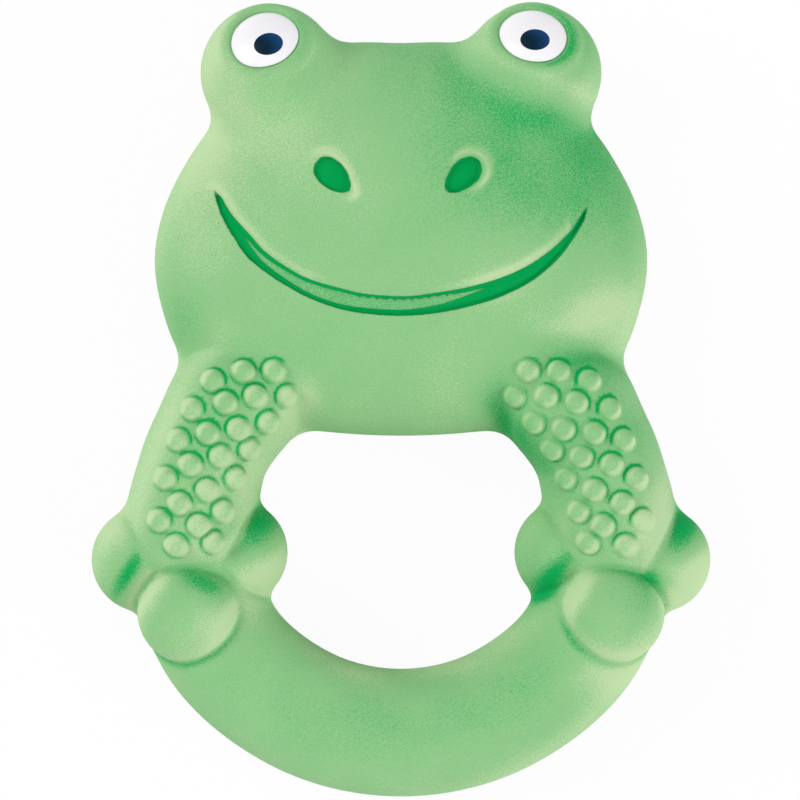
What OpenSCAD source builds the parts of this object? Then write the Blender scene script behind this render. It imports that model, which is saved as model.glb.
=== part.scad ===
// Squeaky frog bath toy: a hollow rubber frog that hugs a grip ring, with a squeaker in its back.
// Millimetres. The toy lies on its flat back: +Z comes out of the face and +Y is the top of the head.
// The origin is on the rest plane, in the middle of the toy's outline.

/* [Head] */
// Width of the head across the cheeks
head_w = 70.2; // [58:0.2:85]
// Height of the head from the chin to the brow
head_h = 56.3; // [47:0.1:68]
// Depth of the face in front of the parting plane
face_depth = 15; // [12.5:0.1:18]
// Radius of each eye dome
eye_r = 9.8; // [8:0.1:11.7]
// Distance between the centres of the eye domes
eye_spread = 37.4; // [31:0.1:45]
// Height of the eye domes' centres above the parting plane
eye_lift = 3.2; // [2:0.1:4]
// Diameter of the painted white of each eye
eye_white_d = 9.6; // [8:0.1:11.5]
// Width of each pupil
pupil_w = 4.2; // [3.4:0.1:5]
// How far the eyes look up, in degrees
gaze_up = 35; // [25:1:45]
// How far the eyes look outwards, in degrees
gaze_out = 3; // [0:1:8]

/* [Ring and arms] */
// Outer width of the grip ring
ring_w = 78.4; // [66:0.1:93]
// Distance from the ring's middle down to its lowest edge
ring_drop = 35.5; // [30:0.1:42]
// Distance from the ring's middle up to the chin
chin_rise = 15.9; // [13.3:0.1:19]
// Width of the ring's tube
tube_w = 18.2; // [15.2:0.1:21.8]
// Depth of the ring in front of the parting plane
ring_depth = 8.8; // [7.4:0.1:10.5]
// Depth of the arms in front of the parting plane
arm_depth = 10.9; // [9.2:0.1:13]
// Length of each arm along the ring, from the head to the palm
arm_length = 32; // [27:0.1:38]
// Radius of the toe balls
toe_r = 7.5; // [6.3:0.1:9]

/* [Teething nubs] */
// Diameter of each nub
nub_d = 3.5; // [2.9:0.1:4.2]
// How far each nub stands out of the arm
nub_height = 1.1; // [0.9:0.1:1.4]
// Distance between nubs along the arm
nub_pitch = 5.2; // [4.6:0.1:6.2]
// Distance between the columns of nubs
nub_column_gap = 3.25; // [2.8:0.05:3.8]

/* [Face] */
// Width of the mouth from corner to corner
mouth_w = 52.6; // [44:0.1:62]
// Sag of the lower lip's curve below the mouth's corners
smile_sag = 16.9; // [14:0.1:20]
// Opening between the lips at the middle
mouth_gap = 2.8; // [2.3:0.1:3.4]
// Width of the dark line along each lip
lip_line = 0.8; // [0.6:0.05:0.95]
// Length of each nostril
nostril_l = 6.1; // [5:0.1:7.3]
// Width of each nostril
nostril_w = 3.6; // [3:0.1:4.3]
// Distance between the nostrils' centres
nostril_spread = 18.2; // [15:0.1:22]
// Slant of the nostrils, in degrees from the width of the face
nostril_slant = 43; // [20:1:60]

/* [Walls and paint] */
// Thickness of the rubber wall
wall = 2.6; // [2.1:0.1:3.2]
// Depth of the back behind the parting plane, down to the rest plane
back_depth = 9; // [7.5:0.1:10.8]
// Thickness of the paint in the eyes, nostrils and mouth
paint = 0.25; // [0.2:0.01:0.3]

/* [Squeaker] */
// Outer diameter of the squeaker's body
squeaker_d = 15; // [12.5:0.1:18]
// Height of the squeaker from its outer face to its lid
squeaker_h = 9.6; // [8:0.1:11.6]
// Diameter of the air hole in the middle of the outer face
air_hole_d = 2.4; // [2:0.1:2.9]
// Length of the reed
reed_l = 4.2; // [3.6:0.1:5]
// Width of the reed
reed_w = 2.8; // [2.4:0.1:3.2]

/* [Hidden] */

// Every cutting tool runs past what it cuts by this much
overrun = 2;
// Gap between a paint film and the sides of its recess
paint_gap = 0.05;
// Running clearance between pieces of the squeaker
fit_gap = 0.05;

// Facets: rings of points across a half section, points on a spline's span, and round forms
section_n = 8;
span_n = 2;
ball_n = 16;
eye_n = 24;
hollow_n = 12;
hollow_step = 2;
nub_n = 7;
mouth_n = 48;
nostril_n = 18;

// How far the eye domes' middles lie below the brow, as a share of their radius
eye_under_share = 0.475;
// Height of the head's middle over the chin, as a share of its height
head_mid_share = 0.47;
// Places. The ring's middle is the reference of both outlines, and ring_y centres the whole toy on Y.
eye_rise = chin_rise + head_h - eye_under_share * eye_r;
toy_rise = eye_rise + eye_r;
ring_y = (ring_drop - toy_rise) / 2;
part_z = back_depth;
head_mid = head_mid_share * head_h;
head_y = ring_y + chin_rise + head_mid;

// Head outline, right half from brow to chin: [share of the half width, share of the height from the chin]
head_shares = [[0, 1], [0.256, 0.998], [0.54, 0.936], [0.79, 0.79], [0.886, 0.675], [0.966, 0.565],
    [1, 0.446], [0.97, 0.322], [0.89, 0.2], [0.73, 0.1], [0.51, 0.03], [0.27, 0.008], [0, 0]];
// Middle of the ring's tube, right half from the bottom to its end inside the head:
// [share of the half width, share of the drop]
ring_shares = [[0, -1], [0.45, -0.886], [0.83, -0.544], [0.995, -0.03], [0.952, 0.39], [0.848, 0.673],
    [0.67, 0.95]];
// Roundness of the sections: 2 is an ellipse and more is squarer
face_power = 2.2;
back_power = 3;
tube_power = 2.1;
// The back's forms reach a little behind the rest plane, which cuts them flat
flat_cut = 0.8;
// The ring's direction at a place is taken over this much of its path to either side
direction_step = 2;

// The toes stand about the palm, on the right side of the ring
palm = [(ring_w - tube_w) / 2, ring_y];
// Toe balls about the palm as [across the arm, along Y, height above the parting plane],
// in shares of the toe radius
toe_shares = [[0.89, -0.19, 0.12], [-0.86, -0.09, 0.12], [0.05, -1.21, 0.68]];
// The arm rounds off over this share of the tube's width, down to this share of its full size
palm_round_share = 0.45;
arm_tip_share = 0.3;
palm_round = palm_round_share * tube_w;
// The arm is this much slimmer than the ring on each side, so that it rises out of it
arm_slim = 0.15;
// It starts this share of the tube's width before the ring's end, deep in the head
arm_root_share = 0.28;
arm_root = arm_root_share * tube_w;
// Round shoulder where the arm leaves the head: its distance along the arm and its radius across the arm,
// as shares of the tube's width
shoulder_share = 0.3;
shoulder_round_share = 0.52;

// Nubs: the first one of each column, in shares of the pitch along the arm, and how many follow
nub_start_share = [0.11, -0.33, 0.2, 0.9];
nub_counts = [6, 6, 6, 5];
// A nub's foot in the arm, and its crown and shoulder as shares of its height and diameter
nub_sink = nub_height;
nub_crown_share = 0.52;
nub_shoulder_share = 0.9;

// Mouth: its corners' height over the chin as a share of the head's, the blunt end cut off each tip,
// and how deep its lines lie in the skin
mouth_corner_share = 0.605;
mouth_tip = 1.2;
line_depth = 0.9;
// Nostrils: their height over the chin as a share of the head's, their depth and the raised rim round them
nostril_share = 0.664;
nostril_depth = 1.1;
nostril_rim = 0.9;
nostril_rim_height = 0.35;
// Eyes: the depth of the white's recess, and the pupil's turn below the gaze in degrees, its height
// as a share of its width and its paint
eye_sink = 0.35;
pupil_drop = 8;
pupil_slim_share = 0.84;
pupil_paint_share = 0.8;
pupil_paint = pupil_paint_share * paint;

// Squeaker: its flange lies this deep in the back and stands out all round behind the rubber lip
squeaker_y = head_y;
squeaker_sink = 0.9;
flange = 1.2;
flange_rim = 1.7;
flange_d = squeaker_d + 2 * flange_rim;
flange_z = squeaker_sink + flange;
// Rubber lip between the flange and the snap bead, and the collar that carries it
lip = 2.2;
lip_top = flange_z + lip;
collar_d = flange_d + 2 * wall;
bead = 0.8;
bead_h = 1;
// Cup and its lid
cup_wall = 1.1;
cup_r = squeaker_d / 2;
cup_top = squeaker_sink + squeaker_h;
lid_t = 1.2;
vent_d = 1.8;
vent_count = 6;
// Socket that holds the bed and the clamp round the reed
socket_margin = 1.2;
socket_wall = 0.9;
socket_gap = 0.4;
socket_r = reed_w / 2 + socket_margin;
socket_top = cup_top - lid_t - socket_gap;
// Reed: its thickness, the slack on both sides, the part held by the clamp and the clamp's height
reed_t = 0.15;
reed_slack = 0.1;
reed_root = 1.2;
clamp_h = 2.4;
reed_z = flange_z + clamp_h;
// Bed: how far it reaches past the reed's tip, its air channel and the slope of its face in degrees
bed_margin = 0.2;
bed_h = clamp_h + reed_l - reed_root + bed_margin;
bed_relief = 5;
channel_r = 0.8;

// Spline through the points a, b, c and d, between b and c
function curve(a, b, c, d, t) =
    (2 * b + (c - a) * t + (2 * a - 5 * b + 4 * c - d) * t * t + (3 * b - a - 3 * c + d) * t * t * t) / 2;
// Closed smooth outline through points
function closed_curve(p, n = span_n) = [for (i = [0:len(p) - 1], k = [0:n - 1])
    curve(p[(i + len(p) - 1) % len(p)], p[i], p[(i + 1) % len(p)], p[(i + 2) % len(p)], k / n)];
// Open smooth line through points
function open_curve(p, n = span_n) = concat([for (i = [0:len(p) - 2], k = [0:n - 1])
    curve(p[max(i - 1, 0)], p[i], p[i + 1], p[min(i + 2, len(p) - 1)], k / n)], [p[len(p) - 1]]);
// The other half of an outline whose first and last points are on the middle line
function mirrored(p) = concat(p, [for (i = [len(p) - 2:-1:1]) [-p[i][0], p[i][1]]]);
// Signed power, for round-cornered sections
function bulge(v, power) = sign(v) * pow(abs(v), 2 / power);
function unit(v) = v / norm(v);

head_outline = closed_curve([for (p = mirrored(head_shares))
    [p[0] * head_w / 2, head_y - head_mid + p[1] * head_h]]);
ring_half = [for (p = ring_shares)
    [p[0] * (ring_w - tube_w) / 2, ring_y + p[1] * (ring_drop - tube_w / 2)]];
ring_path = open_curve(concat([for (i = [len(ring_half) - 1:-1:0]) ring_half[i]],
    [for (i = [1:len(ring_half) - 1]) [-ring_half[i][0], ring_half[i][1]]]));
// Distance along the ring's path from its end in the right side of the head
ring_run = [for (i = 0, s = 0; i < len(ring_path);
    s = s + (i + 1 < len(ring_path) ? norm(ring_path[i + 1] - ring_path[i]) : 0), i = i + 1) s];
function on_ring(s) = [lookup(s, [for (i = [0:len(ring_path) - 1]) [ring_run[i], ring_path[i][0]]]),
    lookup(s, [for (i = [0:len(ring_path) - 1]) [ring_run[i], ring_path[i][1]]])];
function along_ring(s) = unit(on_ring(s + direction_step) - on_ring(s - direction_step));
// Across the tube, away from the hand hole
function across_ring(s) = [-along_ring(s)[1], along_ring(s)[0]];
// Place on the arm's middle line, which runs straight on before the ring's end
function on_arm(s) = on_ring(max(s, 0)) + along_ring(max(s, 0)) * min(s, 0);

// Closed dome over an outline, with its front and back depths from the parting plane
module pillow(outline, middle, front, back, n) {
    rings = [for (k = [-n:n]) [cos(90 * k / n), sin(90 * k / n)]];
    points = concat([[middle[0], middle[1], part_z - back]],
        [for (k = [1:2 * n - 1], p = outline)
            let (power = k < n ? back_power : face_power)
            let (reach = bulge(rings[k][0], power), rise = bulge(rings[k][1], power))
            [middle[0] + (p[0] - middle[0]) * reach, middle[1] + (p[1] - middle[1]) * reach,
                part_z + rise * (k < n ? back : front)]],
        [[middle[0], middle[1], part_z + front]]);
    m = len(outline);
    last = len(points) - 1;
    faces = concat([for (i = [0:m - 1]) [0, 1 + (i + 1) % m, 1 + i]],
        [for (k = [0:2 * n - 3], i = [0:m - 1], half = [0, 1])
            let (a = 1 + k * m + i, b = 1 + k * m + (i + 1) % m)
            half == 0 ? [a, b, a + m] : [b, b + m, a + m]],
        [for (i = [0:m - 1]) [last, last - m + i, last - m + (i + 1) % m]]);
    polyhedron(points, faces);
}

// Tube along a path. Each station is [place, across, half width, front depth, back depth].
module tube(stations, n) {
    around = [for (k = [0:2 * n - 1]) 180 * k / n];
    points = [for (st = stations, a = around)
        let (side = bulge(cos(a), tube_power) * st[2], rise = bulge(sin(a), tube_power))
        [st[0][0] + st[1][0] * side, st[0][1] + st[1][1] * side, part_z + rise * (rise > 0 ? st[3] : st[4])]];
    m = len(around);
    last = len(stations) - 1;
    faces = concat([[for (j = [0:m - 1]) j]],
        [for (i = [0:last - 1], j = [0:m - 1], half = [0, 1])
            let (a = i * m + j, b = i * m + (j + 1) % m)
            half == 0 ? [a, a + m, b] : [b, a + m, b + m]],
        [[for (j = [m - 1:-1:0]) last * m + j]]);
    polyhedron(points, faces);
}

// Share of its full size that the arm has at a distance along the ring
function arm_size(s) = sqrt(1 - pow(max(0, 1 - (arm_length - s) / palm_round), 2));

module head(inset, front, back, n, step = 1) {
    outline = [for (i = [0:step:len(head_outline) - 1])
        let (r = head_outline[i] - [0, head_y]) [0, head_y] + r * (1 - inset / norm(r))];
    pillow(outline, [0, head_y], front, back, n);
}

module ring(inset, front, back, n) {
    tube([for (i = [0:len(ring_path) - 1])
        [ring_path[i], across_ring(ring_run[i]), tube_w / 2 - inset, front, back]], n);
}

// Arm laid on the right of the ring, from inside the head to its round end at the palm
module arm(n) {
    tube([for (k = [-1:n])
        let (s = k < 0 ? -arm_root : arm_length * sin(90 * k / n), size = max(arm_size(s), arm_tip_share))
        [on_arm(s), across_ring(max(s, 0)), (tube_w / 2 - arm_slim) * size, arm_depth * size,
            ring_depth * size]], section_n);
    place = on_arm(shoulder_share * tube_w);
    reach = shoulder_round_share * tube_w;
    translate([place[0], place[1], part_z])
        resize([2 * reach, 2 * reach, 2 * arm_depth])
            sphere(r = reach, $fn = ball_n);
}

module toes() {
    for (toe = toe_shares)
        translate([palm[0] + toe[0] * toe_r, palm[1] + toe[1] * toe_r, part_z + toe[2] * toe_r])
            sphere(r = toe_r, $fn = ball_n);
}

module eye_ball(r, n) {
    translate([eye_spread / 2, ring_y + eye_rise, part_z + eye_lift])
        sphere(r = r, $fn = n);
}

module both_sides() {
    children();
    mirror([1, 0, 0])
        children();
}

// Room between the parting plane and the rest plane
module behind() {
    translate([-ring_w, -toy_rise, 0])
        cube([2 * ring_w, 2 * toy_rise, part_z]);
}

// One teething nub: a low dome with its foot on the arm and +Z out of it
module nub() {
    hull() {
        translate([0, 0, -nub_sink])
            cylinder(d = nub_d, h = nub_sink, $fn = nub_n);
        cylinder(d = nub_d * nub_shoulder_share, h = nub_height * nub_crown_share, $fn = nub_n);
        cylinder(d = nub_d * nub_crown_share, h = nub_height, $fn = nub_n);
    }
}

// Nubs in staggered columns over the right arm, each standing square to the skin
module nubs() {
    for (column = [0:len(nub_counts) - 1], row = [0:nub_counts[column] - 1]) {
        s = (nub_start_share[column] + row) * nub_pitch;
        offset = (column - (len(nub_counts) - 1) / 2) * nub_column_gap;
        size = arm_size(s);
        across = across_ring(max(s, 0));
        place = on_arm(s) + across * offset;
        lean = asin(offset / (tube_w / 2 * size));
        translate([place[0], place[1], part_z + arm_depth * size * cos(lean)])
            rotate([0, 0, atan2(across[1], across[0])])
                rotate([0, atan(arm_depth / (tube_w / 2) * tan(lean)), 0])
                    nub();
    }
}

// Outline of the mouth: the crescent between two arcs through the corners, with its tips cut blunt
module mouth_outline() {
    reach = mouth_w / 2;
    low_r = (reach * reach + smile_sag * smile_sag) / (2 * smile_sag);
    high_sag = smile_sag - mouth_gap;
    high_r = (reach * reach + high_sag * high_sag) / (2 * high_sag);
    corner_y = head_y - head_mid + mouth_corner_share * head_h;
    difference() {
        translate([0, corner_y - smile_sag + low_r])
            circle(r = low_r, $fn = mouth_n);
        translate([0, corner_y - high_sag + high_r])
            circle(r = high_r, $fn = mouth_n);
        translate([-low_r, corner_y - mouth_tip])
            square([2 * low_r, 2 * low_r]);
    }
}

module mouth_lines() {
    difference() {
        mouth_outline();
        offset(delta = -lip_line)
            mouth_outline();
    }
}

module nostril_outline() {
    translate([nostril_spread / 2, head_y - head_mid + nostril_share * head_h])
        rotate(nostril_slant)
            resize([nostril_l, nostril_w])
                circle(d = nostril_l, $fn = nostril_n);
}

// What lies over an outline on the face, from a depth under the head's skin up
module over_face(depth) {
    difference() {
        translate([0, 0, part_z + overrun])
            linear_extrude(face_depth)
                children();
        translate([0, 0, -depth])
            head(0, face_depth, back_depth, section_n);
    }
}

// Paint film that lies on the floor of a recess cut to a depth under the head's skin
module film_on_face(depth) {
    intersection() {
        over_face(depth)
            offset(delta = -paint_gap)
                children();
        translate([0, 0, paint - depth])
            head(0, face_depth, back_depth, section_n);
    }
}

// Turns +Z to where the right eye looks, at the middle of its dome
module gaze(drop = 0) {
    translate([eye_spread / 2, ring_y + eye_rise, part_z + eye_lift])
        rotate([drop - gaze_up, gaze_out, 0])
            children();
}

// Film between two spheres round the middle of the right eye's dome, inside a round outline
module eye_film(inner_r, thickness, d, slim = 1, drop = 0) {
    gaze(drop)
        intersection() {
            difference() {
                sphere(r = inner_r + thickness, $fn = 2 * eye_n);
                sphere(r = inner_r, $fn = 2 * eye_n);
            }
            linear_extrude(2 * eye_r)
                scale([1, slim])
                    circle(d = d, $fn = 2 * eye_n);
        }
}

module eye_white() {
    eye_film(eye_r - eye_sink, paint, eye_white_d - 2 * paint_gap);
}

module pupil() {
    eye_film(eye_r - eye_sink + paint, pupil_paint, pupil_w, pupil_slim_share, pupil_drop);
}

// The hollow inside both shells
module hollow(front, back) {
    head(wall, front, back, section_n / 2, hollow_step);
    ring(wall, ring_depth - wall, back, section_n / 2);
}

module front_shell() {
    color("yellowgreen")
        difference() {
            union() {
                head(0, face_depth, back_depth, section_n);
                ring(0, ring_depth, back_depth, section_n);
                both_sides() {
                    arm(2 * section_n);
                    toes();
                    eye_ball(eye_r, eye_n);
                    nubs();
                    difference() {
                        over_face(wall / 2)
                            offset(delta = nostril_rim)
                                nostril_outline();
                        over_face(-nostril_rim_height)
                            offset(delta = 2 * nostril_rim)
                                nostril_outline();
                    }
                }
            }
            translate([-ring_w, -toy_rise, -back_depth])
                cube([2 * ring_w, 2 * toy_rise, part_z + back_depth]);
            hollow(face_depth - wall, back_depth);
            both_sides() {
                eye_ball(eye_r - wall, hollow_n);
                gaze()
                    difference() {
                        cylinder(d = eye_white_d, h = 2 * eye_r, $fn = eye_n);
                        sphere(r = eye_r - eye_sink, $fn = eye_n);
                    }
                over_face(nostril_depth)
                    nostril_outline();
            }
            over_face(line_depth)
                mouth_lines();
        }
}

// Collar round the squeaker, inside the back
module collar() {
    translate([0, squeaker_y, flange_z / 2])
        cylinder(d = collar_d, h = lip_top - flange_z / 2);
}

module back_shell() {
    color("yellowgreen")
        difference() {
            union() {
                difference() {
                    intersection() {
                        union() {
                            head(0, back_depth, back_depth + flat_cut, section_n);
                            ring(0, ring_depth, back_depth + flat_cut / 2, section_n / 2);
                            both_sides() {
                                toes();
                                eye_ball(eye_r, eye_n);
                            }
                        }
                        behind();
                    }
                    hollow(back_depth, back_depth - wall);
                }
                collar();
            }
            translate([0, squeaker_y, -overrun]) {
                cylinder(d = flange_d + 2 * fit_gap, h = flange_z + overrun);
                cylinder(d = squeaker_d + 2 * fit_gap, h = lip_top + 2 * overrun);
            }
        }
}

// Squeaker body: an outer flange, a groove that grips the rubber lip, a snap bead and a reed socket
module squeaker_cup() {
    color("ivory")
        translate([0, squeaker_y, 0])
            difference() {
                rotate_extrude()
                    polygon([[0, squeaker_sink], [flange_d / 2, squeaker_sink], [flange_d / 2, flange_z],
                        [cup_r, flange_z], [cup_r, lip_top], [cup_r + bead, lip_top],
                        [cup_r, lip_top + bead_h], [cup_r, cup_top], [cup_r - cup_wall / 2, cup_top],
                        [cup_r - cup_wall / 2, cup_top - lid_t],
                        [cup_r - cup_wall, cup_top - lid_t], [cup_r - cup_wall, flange_z],
                        [socket_r + socket_wall, flange_z], [socket_r + socket_wall, socket_top],
                        [socket_r, socket_top], [socket_r, flange_z], [0, flange_z]]);
                translate([0, 0, squeaker_sink - overrun])
                    cylinder(d = air_hole_d, h = flange + 2 * overrun);
            }
}

// Inner lid of the squeaker, with a ring of vents
module squeaker_lid() {
    color("ivory")
        translate([0, squeaker_y, cup_top - lid_t])
            difference() {
                cylinder(r = cup_r - cup_wall / 2 - fit_gap, h = lid_t);
                for (i = [0:vent_count - 1])
                    rotate(360 * i / vent_count)
                        translate([(socket_r + cup_r) / 2, 0, -overrun])
                            cylinder(d = vent_d, h = lid_t + 2 * overrun);
            }
}

// Half-round bed of the reed, with an air channel and a face that falls away from the reed
module reed_bed() {
    color("white")
        translate([0, squeaker_y, flange_z])
            difference() {
                intersection() {
                    cylinder(r = socket_r - fit_gap, h = bed_h);
                    translate([-socket_r, -2 * socket_r - reed_t / 2 - reed_slack, 0])
                        cube([2 * socket_r, 2 * socket_r, bed_h]);
                }
                translate([0, -reed_t / 2 - reed_slack, -overrun])
                    cylinder(r = channel_r, h = bed_h - channel_r + overrun);
                translate([-socket_r, -reed_t / 2 - reed_slack, clamp_h])
                    rotate([bed_relief, 0, 0])
                        cube([2 * socket_r, socket_r, bed_h]);
            }
}

// Half-round clamp that holds the reed's root against the bed
module reed_clamp() {
    color("white")
        translate([0, squeaker_y, flange_z])
            intersection() {
                cylinder(r = socket_r - fit_gap, h = clamp_h);
                translate([-socket_r, reed_t / 2 + reed_slack, 0])
                    cube([2 * socket_r, 2 * socket_r, clamp_h]);
            }
}

// Thin tongue that buzzes when air is pressed past it
module reed() {
    color("lightblue")
        translate([-reed_w / 2, squeaker_y - reed_t / 2, reed_z - reed_root])
            cube([reed_w, reed_t, reed_l]);
}

module eye_white_left() {
    color("white")
        mirror([1, 0, 0])
            eye_white();
}

module eye_white_right() {
    color("white")
        eye_white();
}

module pupil_left() {
    color("midnightblue")
        mirror([1, 0, 0])
            pupil();
}

module pupil_right() {
    color("midnightblue")
        pupil();
}

module nostril_paint_left() {
    color("seagreen")
        mirror([1, 0, 0])
            film_on_face(nostril_depth)
                nostril_outline();
}

module nostril_paint_right() {
    color("seagreen")
        film_on_face(nostril_depth)
            nostril_outline();
}

module mouth_paint() {
    color("seagreen")
        film_on_face(line_depth)
            mouth_lines();
}

front_shell();
back_shell();
eye_white_left();
eye_white_right();
pupil_left();
pupil_right();
nostril_paint_left();
nostril_paint_right();
mouth_paint();
squeaker_cup();
squeaker_lid();
reed_bed();
reed_clamp();
reed();
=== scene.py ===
"""Looks of a rubber frog on a grip ring, with nubs on its arms, painted eyes and a squeaker in its back.

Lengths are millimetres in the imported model's frame until a mesh is made, and metres from there on.
"""

import math

import bmesh
import bpy
import numpy as np
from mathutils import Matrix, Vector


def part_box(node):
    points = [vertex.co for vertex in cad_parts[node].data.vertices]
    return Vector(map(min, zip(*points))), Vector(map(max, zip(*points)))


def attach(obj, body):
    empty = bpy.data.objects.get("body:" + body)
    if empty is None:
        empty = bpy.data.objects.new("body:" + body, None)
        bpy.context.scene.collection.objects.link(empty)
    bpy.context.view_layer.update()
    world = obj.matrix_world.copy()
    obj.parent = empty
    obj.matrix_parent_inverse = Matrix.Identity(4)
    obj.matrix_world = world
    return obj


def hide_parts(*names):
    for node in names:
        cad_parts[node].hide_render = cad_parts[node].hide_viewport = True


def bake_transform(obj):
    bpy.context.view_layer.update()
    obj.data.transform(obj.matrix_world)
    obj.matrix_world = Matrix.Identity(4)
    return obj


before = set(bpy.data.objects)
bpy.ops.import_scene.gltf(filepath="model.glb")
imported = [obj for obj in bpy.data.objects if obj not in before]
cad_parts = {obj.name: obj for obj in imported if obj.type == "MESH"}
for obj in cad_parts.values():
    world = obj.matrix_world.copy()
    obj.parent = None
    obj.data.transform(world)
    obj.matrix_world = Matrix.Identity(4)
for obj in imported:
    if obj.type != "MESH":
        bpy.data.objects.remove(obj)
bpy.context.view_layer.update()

MM = 0.001

# The parting plane, and the squeaker's middle and flange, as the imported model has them
PART_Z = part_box("front_shell")[0].z / MM
SQUEAKER_LOW, SQUEAKER_HIGH = (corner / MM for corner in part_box("squeaker_cup"))
SQUEAKER_Y = (SQUEAKER_LOW.y + SQUEAKER_HIGH.y) / 2
FLANGE_R = (SQUEAKER_HIGH.x - SQUEAKER_LOW.x) / 2

# Head: size, depths before and behind the parting plane, and how full its pillow is there
HEAD_W, HEAD_H = 70.2, 56.3
FACE_DEPTH, BACK_DEPTH = 15.0, 9.8
FACE_POWER, BACK_POWER = 2.2, 3.0
# Eye domes: radius, distance between their middles, and how far those lie before the parting plane
EYE_R, EYE_SPREAD, EYE_LIFT = 9.8, 37.4, 3.2
# Ring, arms and toes
RING_W, RING_DROP, CHIN_RISE = 78.4, 35.5, 15.9
TUBE_W, RING_DEPTH, RING_BACK = 18.2, 8.8, 9.4
TUBE_POWER, ARM_POWER = 2.1, 2.7
ARM_DEPTH, ARM_LENGTH, TOE_R = 10.9, 32.0, 7.5
PALM_ROUND, SHOULDER_ROUND = 0.45 * TUBE_W, 6.0
# Pad that rounds the shoulder: its place along the arm and its radius
SHOULDER_ALONG, SHOULDER_R = 0.3 * TUBE_W, 0.49 * TUBE_W
# Slimmer stretch of tube and arm: by how much a side, its middle along the arm and its reach
ARM_SLIM, SLIM_ALONG, SLIM_REACH = 0.95, 10.0, 14.0
# Wall of the hollow shells, and a length past any of the toy's
WALL, FAR = 2.6, 1e3

# Right half of the head's outline from brow to chin: shares of the half width and of the head's height
HEAD_SHARES = [
    [0, 0.994], [0.256, 0.99], [0.54, 0.93], [0.765, 0.785], [0.886, 0.675], [0.966, 0.565], [1, 0.446],
    [0.97, 0.322], [0.89, 0.2], [0.73, 0.1], [0.51, 0.03], [0.27, 0.008], [0, 0]
]
# Middle of the tube from its end in the head to the bottom: shares of the half width and of the drop
RING_SHARES = [
    [0.67, 0.95], [0.848, 0.673], [0.952, 0.39], [0.995, -0.03], [0.83, -0.544], [0.45, -0.886], [0, -1]
]
# Toe balls about the palm: across the arm, along Y and above the parting plane, in shares of their radius
TOE_SHARES = [[0.86, -0.23, 0.12], [-0.86, -0.09, 0.12], [-0.02, -1.21, 0.68]]
# Middle of the eyes over the ring's, and places of the ring, the chin and the head's middle
EYE_RISE = CHIN_RISE + HEAD_H - 0.475 * EYE_R
RING_Y = (RING_DROP - EYE_RISE - EYE_R) / 2
CHIN_Y = RING_Y + CHIN_RISE
HEAD_Y = CHIN_Y + 0.47 * HEAD_H

# Fillets of eyes, arms, nubs and flat back, and those of toes and shoulders on top and beside
EYE_FILLET, ARM_FILLET, NUB_FILLET, FLAT_FILLET = 3.6, 2.5, 0.35, 1.2
TOE_FILLETS, SHOULDER_FILLETS = (0.8, 1.8), (2.0, 2.7)
# Depth and width of the valley between arm and head, of the toes' creases and of the parting line
VALLEY_DEPTH, VALLEY_WIDTH = 0.6, 2.2
TOE_CREASE, CREASE_WIDTH = 0.25, 0.6
SEAM_DEPTH, SEAM_WIDTH = 0.25, 0.28

# Nubs: diameter, height, depth of the foot in the skin and fullness, and places on the right arm
NUB_D, NUB_H, NUB_SINK, NUB_POWER = 3.65, 1.3, 0.7, 2.1
NUB_PLACES = [
    [18, 4.2], [22.3, 4.1], [26.6, 2.8],
    [16.2, 0.6], [20.6, 0.6], [24.8, -0.3], [29.5, -1.2],
    [18.8, -3.1], [23, -4], [27.3, -4.6], [31.5, -5.6],
    [21.4, -6.9], [25.5, -7.9], [29.8, -9.1], [33.3, -11],
    [23.4, -11], [27.4, -12.7], [31.3, -14.6], [34.2, -17],
    [25.2, -15.7], [28.6, -17.7], [26.5, -20.1], [31.8, -20.5]
]

# Heights over the parting plane between which the sides become the front, and over which the face begins
SIDE_Z, TOP_Z, FACE_LOW = 1, 5, 4
# Lines of the lips from left to right
LOWER_LIP = [
    [-26.5, 29.8], [-26.2, 28.7], [-25.5, 26.5], [-24.4, 24.3], [-23.7, 23.2], [-21.5, 20.1], [-17.4, 17],
    [-12.9, 14.5], [-8.4, 12.9], [-3.9, 12.2], [0.6, 12], [5.1, 12.4], [9.6, 13.3], [14.1, 14.7],
    [18.6, 17], [22.2, 20.1], [24, 22.4], [25.2, 24.3], [25.9, 25.6], [26.2, 26.6], [26.5, 27.8]
]
UPPER_LIP = [
    [-26.5, 29.8], [-26, 29.3], [-25.4, 28.7], [-24.8, 27.6], [-24.1, 26.5], [-23.2, 25.4], [-21.2, 23.2],
    [-19.2, 21], [-16.1, 18.8], [-12.9, 17.1], [-8.4, 15.8], [-4.8, 15], [0.6, 14.7], [5.1, 15.2],
    [9.6, 16], [14.1, 17.3], [17.7, 18.9], [20.9, 21], [23, 22.9], [24.3, 24.3], [25.1, 25.6], [25.9, 26.9],
    [26.5, 27.8]
]
# Mouth: depths of its floor and of the line inside each lip, and that line's width
MOUTH_FLOOR, MOUTH_LINE, LIP_LINE = 0.3, 0.55, 0.7
# Depth and width of the upper lip's roll, and height and width of the lower lip's bead and its drop below it
UPPER_ROLL, ROLL_WIDTH = 0.4, 1.3
LOWER_BEAD, BEAD_WIDTH, BEAD_DROP = 0.14, 0.45, 0.6

# Nostrils: size, distance apart, how much broader the upper end is, slant in degrees, depth and rim's height
NOSTRIL_L, NOSTRIL_W, NOSTRIL_SPREAD, NOSTRIL_LEAF = 6.3, 3.9, 18.3, 0.2
NOSTRIL_SLANT, NOSTRIL_DEPTH, NOSTRIL_RIM = 43, 0.8, 0.45
# Middle between the nostrils, a little to the left of the CAD's and below it
NOSTRIL_DROP = 0.6
NOSTRIL_X, NOSTRIL_Y = -0.45, CHIN_Y + 0.664 * HEAD_H - NOSTRIL_DROP

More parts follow.
